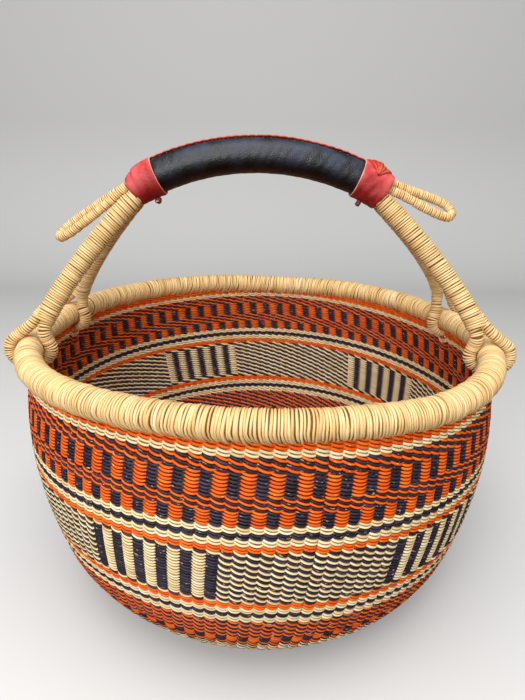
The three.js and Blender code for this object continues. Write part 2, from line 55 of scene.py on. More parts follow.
# How much higher or lower than its even sway the rim runs, at degrees round it
UNEVEN_AT = [-90, -75, -55, -35, -15, 5, 22, 45, 113, 133, 148, 157, 175, 195, 215, 232, 250, 262]
UNEVEN_BY = [0, 0, -2.5, -0.5, 3, 3, 1, 0, 0, 2.5, 6, 6.2, 6, 5, 4.2, 3.5, 2.2, 0.8]
REAR_SAG, REAR_SAG_ANGLE, REAR_SAG_WIDTH = 6.0, math.radians(84), math.radians(27)

# Wall
WALL_THICKNESS = 4.5
MOUTH_RADIUS = 194.5
MOUTH_HEIGHT = 218.5
BELLY_RADIUS = 203.2
BELLY_HEIGHT = 156.0
FOOT_RADIUS = 80.0
BELLY_SHARES = [(0.195, 0.035), (0.373, 0.09), (0.674, 0.199), (0.844, 0.359), (0.925, 0.551), (0.98, 0.776)]
NECK_SHARES = (0.276, 0.565)
BULGE, BULGE_ANGLE, BULGE_HEIGHT, BULGE_REACH = 7.0, math.radians(-80), 26.0, 22.0
LEAST_RADIUS = 0.2

# Weave
STAKES = 148
STAKE_STEP = 2 * math.pi / STAKES
FRONT = -math.pi / 2
FIRST_STAKE = FRONT + math.radians(0.5) + 5 * STAKE_STEP
STAKE_LEAN = 0.1  # how far the stakes run aside for each unit that they rise
LEAN_LEVEL = 38.0  # so far under the rim they stand at their named angles
STITCH_POINTS = 5
STRAND_SIDES = 6
NATURAL, ORANGE, NAVY = range(3)

# Feet of the handle
LOOP_ANGLE = math.radians(15)
FEET = {
    "front_left": math.pi + LOOP_ANGLE,
    "rear_left": math.pi - LOOP_ANGLE,
    "front_right": -LOOP_ANGLE,
    "rear_right": LOOP_ANGLE + math.radians(2),
}
FOOT_RISES = {"front_left": 22.0, "rear_left": 22.0, "front_right": 22.5, "rear_right": 34.0}
WINDOW_WIDTH = math.radians(1.8)  # to each side of a loop of the handle, where the weave parts for it
WINDOW_HEIGHT = 4.4  # and above and below
WINDOW_LEVEL = -14.2
WINDOW_CEILING = -7.8
WINDOW_REACH = -60.0  # down to here the rows under a loop are pushed together


# Meshes

def new_object(name, data):
    made = bpy.data.objects.new(name, data)
    bpy.context.scene.collection.objects.link(made)
    return made


def dress(piece, body, slot, *nodes):
    """A piece moves with a body and stands for some of its nodes. Its slot is not used."""
    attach(piece, body)
    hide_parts(*nodes)


def lerp(a, b, t):
    return a + (b - a) * t


def unit(v):
    return v / np.maximum(np.linalg.norm(v, axis=-1, keepdims=True), 1e-12)


def smooth(x):
    x = np.clip(x, 0, 1)
    return x * x * (3 - 2 * x)


def ring_quads(rings, count, sides):
    """The faces between rings of points, from each of so many rings to the one after it."""
    i = np.arange(count)[:, None]
    j = np.arange(sides)[None, :]
    up, k = (i + 1) % rings, (j + 1) % sides
    return np.stack([i * sides + j, i * sides + k, up * sides + k, up * sides + j], -1).reshape(-1, 4)


class Strands:
    """Collects tubes into one mesh. Each point of a tube has its place, an outward direction, two half
    sizes (out and aside), a tint from 0 to 1, and each of its sections a material's number."""

    def __init__(self):
        self.places, self.quads, self.ends, self.slots = [], [], [], []
        self.end_slots, self.tints, self.fibres, self.flank_shades = [], [], [], []
        self.count = 0

    def tube(self, points, outs, half_out, half_aside, sides, slots=0, tint=0.5, closed=False):
        n = len(points)
        if closed:
            along = np.roll(points, -1, 0) - np.roll(points, 1, 0)
        else:
            along = np.gradient(points, axis=0)
        along = unit(along)
        aside = unit(np.cross(along, outs))
        out = np.cross(aside, along)
        turn = 2 * np.pi * np.arange(sides) / sides
        half_out = np.broadcast_to(half_out, (n,))[:, None, None]
        half_aside = np.broadcast_to(half_aside, (n,))[:, None, None]
        ring = points[:, None, :] + out[:, None, :] * half_out * np.cos(turn)[None, :, None]
        ring = ring + aside[:, None, :] * half_aside * np.sin(turn)[None, :, None]
        self.places.append(ring.reshape(-1, 3))
        last = n if closed else n - 1
        self.quads.append(ring_quads(n, last, sides) + self.count)
        slots = np.broadcast_to(slots, (n,))
        self.slots.append(np.repeat(slots[:last], sides))
        if not closed:
            first = np.arange(sides)[::-1]
            self.ends.append(np.stack([first, (n - 1) * sides + first[::-1]]) + self.count)
            self.end_slots.append(np.array([slots[0], slots[-1]]))
        steps = np.linalg.norm(np.diff(points, axis=0), axis=1)
        length = np.concatenate([[0], np.cumsum(steps)]) * MM
        fibre = np.zeros((n, sides, 3))
        fibre[..., 0] = length[:, None]
        fibre[..., 1] = np.cos(turn) * MM
        fibre[..., 2] = np.sin(turn) * MM
        self.fibres.append((fibre + rng.uniform(-1, 1, 3)).reshape(-1, 3))
        self.tints.append(np.repeat(np.broadcast_to(tint, (n,)), sides))
        # How far round to a side of the strand each point lies; the grass materials paint shade there.
        self.flank_shades.append(np.tile(np.abs(np.sin(turn)), n))
        self.count += n * sides

    def build(self, name, materials, *dressing):
        """Makes the mesh of all the tubes so far, and dresses it."""
        places = np.concatenate(self.places) * MM
        quads = np.concatenate(self.quads)
        loops = [quads.ravel()]
        sizes = [np.full(len(quads), 4)]
        slots = [np.concatenate(self.slots)]
        for ends, numbers in zip(self.ends, self.end_slots):
            loops.append(ends.ravel())
            sizes.append(np.full(2, ends.shape[1]))
            slots.append(numbers)
        loops, sizes, slots = (np.concatenate(x).astype(np.int32) for x in (loops, sizes, slots))
        mesh = bpy.data.meshes.new(name)
        mesh.vertices.add(len(places))
        mesh.vertices.foreach_set("co", places.astype(np.float32).ravel())
        mesh.loops.add(len(loops))
        mesh.loops.foreach_set("vertex_index", loops)
        mesh.polygons.add(len(sizes))
        starts = np.concatenate([[0], np.cumsum(sizes)[:-1]]).astype(np.int32)
        mesh.polygons.foreach_set("loop_start", starts)
        mesh.polygons.foreach_set("material_index", slots)
        mesh.polygons.foreach_set("use_smooth", np.ones(len(sizes), bool))
        mesh.update(calc_edges=True)
        for layer, values in (("tint", self.tints), ("flank_shade", self.flank_shades)):
            data = mesh.attributes.new(layer, "FLOAT", "POINT").data
            data.foreach_set("value", np.concatenate(values).astype(np.float32))
        fibre = mesh.attributes.new("fibre", "FLOAT_VECTOR", "POINT")
        fibre.data.foreach_set("vector", np.concatenate(self.fibres).astype(np.float32).ravel())
        for material in materials:
            mesh.materials.append(material)
        dress(new_object(name, mesh), *dressing)


# Materials

def srgb(color):
    channels = [c / 255 for c in color]
    linear = [c / 12.92 if c <= 0.04045 else ((c + 0.055) / 1.055) ** 2.4 for c in channels]
    return (*linear, 1.0)


MIX_FACTOR, MIX_A, MIX_B, MIXED = 0, 6, 7, 2  # sockets of a node that mixes colours


class Look:
    """A new material and its nodes."""

    def __init__(self, name):
        self.material = bpy.data.materials.new(name)
        self.material.use_nodes = True
        self.nodes = self.material.node_tree.nodes
        self.links = self.material.node_tree.links
        self.shader = self.nodes["Principled BSDF"]

    def node(self, kind, inputs=None, **settings):
        """The outputs of a new node, whose inputs are set to values or linked to other outputs."""
        node = self.nodes.new("ShaderNode" + kind)
        for name, value in settings.items():
            setattr(node, name, value)
        for name, value in (inputs or {}).items():
            if isinstance(value, bpy.types.NodeSocket):
                self.links.new(value, node.inputs[name])
            else:
                node.inputs[name].default_value = value
        return node.outputs

    def shade(self, name, value):
        self.links.new(value, self.shader.inputs[name])

    def mix(self, factor, a, b, blend="MIX"):
        inputs = {MIX_FACTOR: factor, MIX_A: a, MIX_B: b}
        return self.node("Mix", inputs, data_type="RGBA", blend_type=blend)[MIXED]

    def multiplied(self, a, b):
        return self.mix(1.0, a, b, "MULTIPLY")

    def noise(self, vector, scale, detail):
        return self.node("TexNoise", {"Vector": vector, "Scale": scale, "Detail": detail})["Fac"]

    def ramp(self, factor, low, high, from_value=0.0, to_value=1.0):
        limits = {"From Min": low, "From Max": high, "To Min": from_value, "To Max": to_value}
        return self.node("MapRange", {"Value": factor, **limits})["Result"]

    def attribute(self, name, output):
        return self.node("Attribute", attribute_name=name)[output]

    def stretched(self, vector, factors):
        return self.node("VectorMath", {0: vector, 1: factors}, operation="MULTIPLY")[0]

    def bump(self, height, strength, distance):
        inputs = {"Height": height, "Strength": strength, "Distance": distance}
        self.shade("Normal", self.node("Bump", inputs)["Normal"])


# How fine the fibres and the flecks are, along a strand and across it
FIBRE_GRAIN = (60.0, 900.0, 900.0)
FLECK_GRAIN = (300.0, 900.0, 900.0)
FIBRE_DARK, FIBRE_LIGHT = (0.78, 0.74, 0.7, 1), (1.12, 1.12, 1.1, 1)
# Over this range towards a strand's sides, painted shade darkens it.
FLANK_SHADE_RANGE = (0.5, 0.88)


def grass(name, dark, middle, light, groove_shade=(1, 1, 1), fleck=None, fleck_low=0.68, roughness=0.5, gloss=0.4):
    """Dyed or plain grass: each stitch has its own tone, with fibres along it and now and then a pale fleck.
    The flanks, where strands lie against each other, have painted shade: the groove colour darkens them."""
    look = Look(name)
    fibre = look.attribute("fibre", "Vector")
    tint = look.attribute("tint", "Fac")
    tone = look.mix(look.ramp(tint, 0.0, 0.5), srgb(dark), srgb(middle))
    tone = look.mix(look.ramp(tint, 0.5, 1.0), tone, srgb(light))
    streaks = look.noise(look.stretched(fibre, FIBRE_GRAIN), 1.0, 3.0)
    color = look.multiplied(tone, look.mix(look.ramp(streaks, 0.3, 0.7), FIBRE_DARK, FIBRE_LIGHT))
    if fleck:
        spots = look.noise(look.stretched(fibre, FLECK_GRAIN), 1.0, 1.0)
        color = look.mix(look.ramp(spots, fleck_low, fleck_low + 0.06), color, srgb(fleck))
    # Painted shade: the flanks of each strand are multiplied by the groove colour.
    flank_shade = look.ramp(look.attribute("flank_shade", "Fac"), *FLANK_SHADE_RANGE)
    color = look.mix(flank_shade, color, look.multiplied(color, (*groove_shade, 1)))
    look.shade("Base Color", color)
    look.shade("Roughness", look.ramp(streaks, 0.2, 0.8, roughness + 0.1, roughness - 0.08))
    look.shader.inputs["Specular IOR Level"].default_value = gloss
    look.bump(streaks, 0.35, 0.0002)
    return look.material


# Painted light: how much lighter the leather is where it faces up.
PAINTED_TOP_LIGHT = (1.1, 1.1, 1.1, 1)
# The grain of the lighter bloom, which is partly wear and partly painted sheen.
WEAR_AND_SHEEN_GRAIN, FINE_GRAIN, PORE_GRAIN = 55.0, 900.0, 850.0
CREASE_GRAIN, CREASE_STRETCH, CREASE_DEPTH = 240.0, (1.0, 0.35, 1.0), 1.6


def leather(name, dark, middle, light, roughness, under=(1, 1, 1)):
    """Thin goat leather: fine pores, broad creases and a lighter bloom, partly worn and partly painted
    sheen. Where it faces up it has painted light, and the colour under paints shade on its underside."""
    look = Look(name)
    place = look.node("TexCoord")["Object"]
    broad = look.noise(place, WEAR_AND_SHEEN_GRAIN, 4.0)
    fine = look.noise(place, FINE_GRAIN, 3.0)
    tone = look.mix(look.ramp(broad, 0.35, 0.55), srgb(dark), srgb(middle))
    # The light tone, mixed in here by broad and then fine noise, is partly wear and grain and partly painted
    # sheen.
    tone = look.mix(look.ramp(broad, 0.45, 0.7), tone, srgb(light))
    tone = look.mix(look.ramp(fine, 0.5, 0.75, 0.0, 0.4), tone, srgb(light))
    # Painted light and shade: lighter where the surface faces up, darker by the colour under where it faces
    # down.
    facing = look.node("SeparateXYZ", {0: look.node("NewGeometry")["Normal"]})
    shade_to_light = look.ramp(facing["Z"], -0.5, 0.9)
    look.shade("Base Color", look.multiplied(tone, look.mix(shade_to_light, (*under, 1), PAINTED_TOP_LIGHT)))
    look.shade("Roughness", look.ramp(broad, 0.3, 0.7, roughness - 0.07, roughness + 0.1))
    pores = look.node("TexVoronoi", {"Vector": place, "Scale": PORE_GRAIN})["Distance"]
    creases = look.noise(look.stretched(place, CREASE_STRETCH), CREASE_GRAIN, 4.0)
    height = look.node("Math", {0: creases, 1: CREASE_DEPTH, 2: pores}, operation="MULTIPLY_ADD")[0]
    look.bump(height, 0.45, 0.0004)
    return look.material


# The fourth colour given to each grass material darkens the flanks of its strands as painted shade.
natural = grass(
    "natural_grass", (236, 206, 150), (254, 234, 184), (255, 248, 218), (0.5, 0.36, 0.24), gloss=0.3,
)
orange = grass(
    "orange_grass", (228, 86, 8), (255, 108, 10), (255, 136, 36), (0.5, 0.26, 0.2),
    fleck=(250, 176, 120), fleck_low=0.7, gloss=0.25,
)
navy = grass(
    "navy_grass", (30, 25, 35), (46, 39, 56), (72, 62, 86), (0.35, 0.3, 0.3),
    fleck=(200, 166, 140), fleck_low=0.67, gloss=0.3,
)
straw = grass(
    "straw", (226, 180, 112), (246, 212, 150), (254, 236, 190), (0.66, 0.48, 0.32), roughness=0.42,
)
core_grass = grass("core_grass", (110, 72, 36), (142, 98, 54), (174, 128, 78), roughness=0.7)
# The last three numbers of the black, red and lace leathers paint shade on their undersides; the light tones
# of the black and red leathers are partly painted sheen.
black_leather = leather("black_leather", (5, 6, 8), (14, 16, 22), (48, 56, 76), 0.38, (0.1, 0.1, 0.1))
red_leather = leather("red_leather", (172, 30, 28), (206, 56, 54), (236, 108, 108), 0.5, (0.42, 0.12, 0.1))
lace_leather = leather("lace_leather", (178, 44, 24), (206, 66, 38), (230, 104, 74), 0.45, (0.5, 0.5, 0.5))
cut_edge = leather("cut_edge", (206, 108, 98), (226, 138, 124), (238, 170, 154), 0.6)
tie_leather = leather("tie_leather", (70, 16, 14), (98, 26, 22), (140, 54, 48), 0.5)
WEAVE = [natural, orange, navy]


# The wall

def wall_face():
    """The wall's outer face from the foot's edge to the mouth, as many points (radius, height)."""
    neck_in, neck_up = NECK_SHARES
    points = [(FOOT_RADIUS, 0.0)]
    points += [(lerp(FOOT_RADIUS, BELLY_RADIUS, out), up * BELLY_HEIGHT) for out, up in BELLY_SHARES]
    points += [(BELLY_RADIUS, BELLY_HEIGHT)]
    points += [(lerp(BELLY_RADIUS, MOUTH_RADIUS, neck_in), lerp(BELLY_HEIGHT, MOUTH_HEIGHT, neck_up))]
    points += [(MOUTH_RADIUS, MOUTH_HEIGHT)]
    return catmull(np.array(points), 40, even=True)


def catmull(points, steps, even=False):
    """A smooth curve through points. Even spacing of the knots, or by the square root of the distance."""
    points = np.asarray(points, float)
    first = points[0] if even else 2 * points[0] - points[1]
    last = points[-1] if even else 2 * points[-1] - points[-2]
    padded = np.vstack([first, points, last])
    made = []
    for p0, p1, p2, p3 in zip(padded, padded[1:], padded[2:], padded[3:]):
        t = np.linspace(0, 1, steps, endpoint=False)[:, None]
        if even:
            v0, v1 = (p2 - p0) / 2, (p3 - p1) / 2
        else:
            d0, d1, d2 = (max(np.linalg.norm(b - a), 1e-9) ** 0.5 for a, b in ((p0, p1), (p1, p2), (p2, p3)))
            v0 = ((p1 - p0) / d0 - (p2 - p0) / (d0 + d1) + (p2 - p1) / d1) * d1
            v1 = ((p2 - p1) / d1 - (p3 - p1) / (d1 + d2) + (p3 - p2) / d2) * d1
        a, b = 2 * p1 - 2 * p2 + v0 + v1, -3 * p1 + 3 * p2 - 2 * v0 - v1
        made.append(a * t**3 + b * t**2 + v0 * t + p1)
    return np.vstack([*made, points[-1:]])


WALL = wall_face()
BASE = np.stack([np.linspace(0, FOOT_RADIUS, 41), np.zeros(41)], 1)[:-1]
FACE = np.vstack([BASE, WALL])
FACE_RUN = np.concatenate([[0], np.cumsum(np.linalg.norm(np.diff(FACE, axis=0), axis=1))])
FACE_OUT = unit(np.stack([np.gradient(FACE[:, 1], FACE_RUN), -np.gradient(FACE[:, 0], FACE_RUN)], 1))


def run_at(height):
    """How far along the face a height lies, from the middle of the base."""
    wall = FACE_RUN[len(BASE):]
    return np.interp(height, WALL[:, 1], wall)


def angle_away(angle, middle):
    return (angle - middle + np.pi) % (2 * np.pi) - np.pi


def hump(place, middle, width):
    """A smooth hump, 1 at its middle."""
    return np.exp(-(((place - middle) / width) ** 2))


def uneven_lift():
    """The unevenness of the rim at each degree, with its corners rounded off."""
    lift = np.interp(np.arange(360), UNEVEN_AT, UNEVEN_BY, period=360)
    steps = range(-9, 10)
    return sum(np.roll(lift, step) for step in steps) / len(steps)


UNEVEN = uneven_lift()


def sway(angle, height):
    """The rim isn't level, and the wall follows it more the higher it is."""
    lift = np.interp(np.degrees(angle), np.arange(360), UNEVEN, period=360) - RIM_SWAY * np.cos(2 * angle)
    return lift * np.clip(height / MOUTH_HEIGHT, 0, 1)


def stretch(angle, height):
    """The handle pulls the rim wider, and the wall under it less."""
    return RIM_STRETCH * np.clip(height / MOUTH_HEIGHT, 0, 1) ** 3 * np.cos(angle)


def wall_place(run, angle, depth):
    """Places in the wall, a depth under its outer face, and the outward direction there."""
    radius, height = (np.interp(run, FACE_RUN, FACE[:, k]) for k in (0, 1))
    out_r, out_z = (np.interp(run, FACE_RUN, FACE_OUT[:, k]) for k in (0, 1))
    radius, height = radius - depth * out_r, height - depth * out_z
    facing = np.clip(np.cos(angle - BULGE_ANGLE), 0, 1) ** 2 * np.clip(radius / FOOT_RADIUS, 0, 1)
    radius = np.maximum(radius + BULGE * facing * hump(height, BULGE_HEIGHT, BULGE_REACH), LEAST_RADIUS)
    cos, sin = np.cos(angle), np.sin(angle)
    place = np.stack([radius * cos + stretch(angle, height), radius * sin, height + sway(angle, height)], -1)
    return place, np.stack([out_r * cos, out_r * sin, out_z], -1)


def around_feet(angle):
    """1 at a foot of the handle, fading to 0 beside it."""
    share = np.zeros_like(angle)
    for foot in FEET.values():
        away = np.abs(angle_away(angle, foot))
        share = np.maximum(share, np.sqrt(np.clip(1 - (away / WINDOW_WIDTH) ** 2, 0, 1)))
    return share


def parted(run, angle):
    """The rows of weave part round each loop of the handle that passes through the wall."""
    levels = (WINDOW_CEILING, WINDOW_LEVEL, WINDOW_REACH)
    ceiling, middle, reach = (run_at(RIM_HEIGHT + level) for level in levels)
    opening = WINDOW_HEIGHT * around_feet(angle)
    above = ceiling + (run - ceiling) * (ceiling - middle - opening) / (ceiling - middle)
    under = reach + (run - reach) * (middle - opening - reach) / (middle - reach)
    return np.where(run > middle, above, np.where(run > reach, under, run))


# A rule gives a row's colours, outside and inside, and how steeply its stitches slant, in pitches.

STEEP, MILD, FLAT = 0.62, 0.38, 0.28
POINTED_SHARES = (0.42, 0.1)  # how pointed flat and mild stitches are


def plain(color):
    def rule(k, row, rows):
        return np.full(len(k), color), np.full(len(k), color), np.full(len(k), MILD)
    return rule


def stripes(a, b, phase=0):
    def rule(k, row, rows):
        first = (k + row + phase) % 2 == 0
        return np.where(first, a, b), np.where(first, b, a), np.full(len(k), STEEP)
    return rule


def columns(a, b):
    def rule(k, row, rows):
        first = k % 2 == 0
        return np.where(first, a, b), np.where(first, b, a), np.full(len(k), FLAT)
    return rule


PANEL_STAKES = 11
PANEL_STARTS = [-32.1, 30.9, 121.4, 192.4, 260.4]  # degrees from the front


def panels(a, b):
    def rule(k, row, rows):
        first = (k + row) % 2 == 0
        capped = row in (0, rows - 1)
        slant = np.full(len(k), STEEP)
        for start in PANEL_STARTS:
            begin = round((FRONT + math.radians(start) - FIRST_STAKE) / STAKE_STEP)
            place = (k - begin) % STAKES
            column = (place % 2 == 0) != capped
            first = np.where(place < PANEL_STAKES, ~column, first)
            slant = np.where(place < PANEL_STAKES, FLAT, slant)
        return np.where(first, a, b), np.where(first, b, a), slant
    return rule


# Bands of the weave from the rim down: name, level of the lower edge, rows and colours
BANDS = [
    ("collar", -10.6, 1, plain(ORANGE)),
    ("collar", -15.4, 2, plain(ORANGE)),
    ("collar", -19.8, 2, plain(NATURAL)),
    ("upper_check", -28.6, 4, stripes(ORANGE, NAVY)),
    ("upper_check", -45.0, 7, columns(ORANGE, NAVY)),
    ("upper_check", -53.0, 4, stripes(ORANGE, NAVY, 1)),
    ("upper_check", -64.0, 5, columns(NAVY, ORANGE)),
    ("upper_stripe", -68.4, 2, plain(NATURAL)),
    ("upper_stripe", -72.8, 2, plain(NAVY)),
    ("upper_stripe", -78.0, 2, plain(NATURAL)),
    ("upper_stripe", -82.7, 2, plain(ORANGE)),
    ("panel", -127.7, 18, panels(NATURAL, NAVY)),
    ("lower_stripe", -132.9, 2, plain(ORANGE)),
    ("lower_stripe", -138.0, 2, plain(NATURAL)),
    ("lower_stripe", -141.8, 2, plain(NAVY)),
    ("lower_stripe", -147.5, 2, plain(NATURAL)),
    ("lower_check", -168.5, 9, stripes(ORANGE, NAVY)),
    ("lower_check", -174.5, 3, columns(ORANGE, NAVY)),
    ("lower_check", -179.5, 2, stripes(ORANGE, NAVY, 1)),
    ("foot", -184.5, 3, stripes(NAVY, NATURAL)),
    ("foot", -188.0, 2, plain(NATURAL)),
    ("foot", -212.0, 15, stripes(ORANGE, NAVY)),
]
COLLAR_TOP = -8.1
MIDDLE_DEPTH = WALL_THICKNESS / 2
STITCH_SWING = 1.25  # how far a strand swings out and in from the wall's middle
STRAND_HALF = 1.15
STRAND_SHARE = 0.47  # of the pitch of the rows, to each side of a strand's middle
SMILE = 0.27  # how far a stitch sags, in pitches
INNER_SMILE_SHARE = 0.4
END_TAPER = 0.22
FLAT_FRONT = 0.1  # how far a stitch is flattened on the outside
PUSH_SPREAD, LIFT_SPREAD, TINT_SPREAD = 0.08, 0.07, 0.18  # how unlike the stitches are
THIN_ABOVE, THIN_BELOW = 0.66, 0.1  # how much thinner the rows are over and under a loop
ROWS_IN_PIECE = 10


def stake_angle(run, step):
    """Where a stake runs, a step on from the first. The stakes lean a little as they rise."""
    height = np.interp(run, FACE_RUN, FACE[:, 1]) - RIM_HEIGHT
    return FIRST_STAKE + step + STAKE_LEAN * (height + LEAN_LEVEL) / RIM_RADIUS


def row_strands(strands, run, pitch, rule, row, rows, stakes):
    """One row of twining: two strands that pass each other between the stakes, one outside, one inside."""
    i = np.arange(stakes * STITCH_POINTS + 1)
    k = i // STITCH_POINTS % stakes
    within = i % STITCH_POINTS / STITCH_POINTS - 0.5
    u = i / STITCH_POINTS - 0.5
    outer, inner, slant = rule(np.arange(stakes), row, rows)
    slant = slant[k]
    pointed = np.interp(slant, [FLAT, MILD], POINTED_SHARES)
    push = rng.normal(0, PUSH_SPREAD, (2, stakes))
    lift = rng.normal(0, LIFT_SPREAD, (2, stakes))
    tint = np.clip(rng.normal(0.5, TINT_SPREAD, (2, stakes)), 0, 1)
    mid = np.cos(np.pi * within)
    taper = 1 - END_TAPER * (2 * np.abs(within)) ** 4
    point = 1 - pointed * (2 * np.abs(within)) ** 3
    angle = stake_angle(run, u * 2 * math.pi / stakes)
    thinner = THIN_ABOVE if run > wall_run(WINDOW_LEVEL) else THIN_BELOW
    near_foot = around_feet(angle) * (run > wall_run(WINDOW_REACH)) * thinner
    for strand in (0, 1):
        outside = (k + strand) % 2 == 0
        side = np.where(outside, 1.0, -1.0)
        flat = mid - FLAT_FRONT * np.cos(3 * np.pi * within)
        depth = MIDDLE_DEPTH - side * (STITCH_SWING * flat + push[strand][k] * mid)
        sag = -SMILE * pitch * (1 - 4 * within**2) * np.where(outside, 1.0, INNER_SMILE_SHARE)
        along = run - side * 2 * slant * pitch * within + sag + lift[strand][k] * mid
        along = parted(along + pitch * ((u + 0.5) / stakes - 0.5), angle)
        places, outs = wall_place(along, angle, depth)
        half_height = STRAND_SHARE * pitch * point * (1 - near_foot)
        slots = np.where(outside, outer[k], inner[k])
        strands.tube(places, outs, STRAND_HALF * taper, half_height, STRAND_SIDES, slots, tint[strand][k])


def wall_run(level):
    return float(run_at(RIM_HEIGHT + level))


made = {}
rows_made = {}


def piece_for(band):
    """The piece that takes a band's next row, so that none holds more than ROWS_IN_PIECE of them."""
    rows_made[band] = rows_made.get(band, 0) + 1
    name = band + "_" + str((rows_made[band] - 1) // ROWS_IN_PIECE)
    return made.setdefault(name, Strands())


def add_weave():
    top = wall_run(COLLAR_TOP)
    for name, level, rows, rule in BANDS:
        bottom = wall_run(level)
        pitch = (top - bottom) / rows
        for row in range(rows):
            strands = piece_for(name)
            row_strands(strands, top - (row + 0.5) * pitch, pitch, rule, row, rows, STAKES)
        top = bottom
    return top


lowest = add_weave()


BASE_PITCH = 2.5
BASE_EDGE = 7.0  # inside this radius a coil closes the base
COIL_TURNS, COIL_POINTS, COIL_END, COIL_HALF = 3, 24, 0.8, 1.3
# What the base shows outside each radius, and how many stakes or bundles of them part its stitches there
BASE_RINGS = [
    (90.0, stripes(ORANGE, NAVY, 1)),
    (80.0, plain(NATURAL)),
    (34.0, stripes(ORANGE, NAVY)),
    (0.0, plain(NATURAL)),
]
BASE_STAKES = [(120.0, STAKES), (58.0, STAKES // 2), (0.0, STAKES // 4 - 1)]


def close_base():
    """A small coil of grass in the middle of the base."""
    angle = np.linspace(0, COIL_TURNS * 2 * np.pi, COIL_TURNS * COIL_POINTS)
    run = np.linspace(BASE_EDGE, COIL_END, len(angle))
    places, outs = wall_place(run, angle, MIDDLE_DEPTH)
    piece_for("base").tube(places, outs, COIL_HALF, BASE_PITCH / 2, STRAND_SIDES, NATURAL)


def add_base(top):
    """The base, where the stakes run together, so that fewer of them part the stitches."""
    rows = round((top - BASE_EDGE) / BASE_PITCH)
    pitch = (top - BASE_EDGE) / rows
    for row in range(rows):
        run = top - (row + 0.5) * pitch
        radius = float(np.interp(run, FACE_RUN, FACE[:, 0]))
        rule = next(rule for inside, rule in BASE_RINGS if radius > inside)
        stakes = next(count for inside, count in BASE_STAKES if radius > inside)
        row_strands(piece_for("base"), run, pitch, rule, row, rows, stakes)
    close_base()


add_base(lowest)


# Every fourth stake starts near the middle of the base, and the others join between
STAKE_STARTS = [12.0, 122.0, 58.0, 122.0]
STAKE_POINTS = 46
STAKE_HALF_OUT, STAKE_HALF_ASIDE = 0.75, 1.5


def add_stakes():
    strands = Strands()
    for k in range(STAKES):
        start, end = STAKE_STARTS[k % len(STAKE_STARTS)], float(FACE_RUN[-1])
        if around_feet(np.array([stake_angle(end, k * STAKE_STEP)]))[0] > 0.5:
            end = wall_run(WINDOW_LEVEL - WINDOW_HEIGHT) - 2
        run = np.linspace(start, end, STAKE_POINTS)
        places, outs = wall_place(run, stake_angle(run, k * STAKE_STEP), MIDDLE_DEPTH)
        strands.tube(places, outs, STAKE_HALF_OUT, STAKE_HALF_ASIDE, 5, 0, rng.uniform(0.2, 0.8))
    strands.build("warp_stakes", [core_grass], "basket", "grass_core", "stakes")


BAND_NODES = {
    "collar": ("upper_check_band", "inner_mouth_face"),
    "upper_check": ("upper_check_band", "inner_mouth_face"),
    "upper_stripe": ("upper_stripe_band", "inner_wall_face"),
    "panel": ("panel_band", "inner_wall_face"),
    "lower_stripe": ("lower_stripe_band", "inner_belly_face"),
    "lower_check": ("lower_check_band", "inner_belly_face"),
    "foot": ("base_band", "inner_foot_face"),
    "base": ("base_start", "base_ring", "inner_base_face"),
}
BAND_SLOTS = {"upper_stripe": "natural_weave", "lower_stripe": "natural_weave", "panel": "navy_weave"}


def place_weave():
    for name, strands in made.items():
        band = name.rstrip("0123456789").rstrip("_")
        slot = BAND_SLOTS.get(band, "rust_weave")
        strands.build(name + "_weave", WEAVE, "basket", slot, *BAND_NODES[band])


place_weave()
add_stakes()


# Turns of straw

class Path:
    """A smooth line with frames that don't twist, for straw to be wound round."""

    def __init__(self, points, across=(0.0, 1.0, 0.0)):
        self.points = np.asarray(points, float)
        self.run = np.concatenate([[0], np.cumsum(np.linalg.norm(np.diff(self.points, axis=0), axis=1))])
        self.length = self.run[-1]
        along = unit(np.gradient(self.points, axis=0))
        normal = np.array(across, float)
        normals = []
        for t in along:
            normal = normal - t * np.dot(normal, t)
            normal = normal / np.linalg.norm(normal)
            normals.append(normal)
        self.normals = np.array(normals)
        self.others = np.cross(along, self.normals)

    def at(self, run):
        def pick(rows):
            return np.stack([np.interp(run, self.run, rows[:, k]) for k in range(3)], -1)
        return pick(self.points), unit(pick(self.normals)), unit(pick(self.others))


def wavering(t, turns, spread, knots):
    """A smooth random wander with so many knots a turn."""
    count = int(turns * knots) + 2
    return np.interp(t * knots, np.arange(count), rng.normal(0, spread, count))


def straw_tint(t, turns, spread):
    """Each turn has its own tone, which changes a little along it."""
    turn = np.minimum(t.astype(int), turns - 1)
    return np.clip(rng.normal(0.5, spread, turns)[turn] + wavering(t, turns, 0.16, 3), 0, 1)


STRAW_SIDES = 6
STRAY_SHARE = 0.11  # of the pitch, how far a turn strays along its path
TURN_SHARE = 0.5  # of the pitch, half the width of a turn


def wound(strands, path, start, end, radius_at, pitch, half_out=1.05, points=14, hand=1):
    """Straw wound side by side round a path, as one strand."""
    turns = max(2, round((end - start) / pitch))
    pitch = (end - start) / turns
    t = np.arange(turns * points + 1) / points
    stray = wavering(t, turns, STRAY_SHARE * pitch, 2)
    run = start + np.clip(t * pitch + stray, 0, end - start)
    angle = hand * 2 * np.pi * t
    at, normal, other = path.at(run)
    outs = normal * np.cos(angle)[:, None] + other * np.sin(angle)[:, None]
    radius = radius_at(run / path.length) - half_out + wavering(t, turns, 0.18, 2)
    tint = straw_tint(t, turns, 0.07)
    half_aside = TURN_SHARE * pitch * (1 + wavering(t, turns, 0.12, 3))
    strands.tube(at + outs * radius[:, None], outs, half_out, half_aside, STRAW_SIDES, 0, tint)


def filling(strands, path, start, end, radius_at, sides=12):
    """The bundle of grass under the turns."""
    run = np.linspace(start, end, 40)
    at, normal, _ = path.at(run)
    radius = radius_at(run / path.length)
    strands.tube(at, normal, radius, radius, sides, 1, 0.4)


# The rim

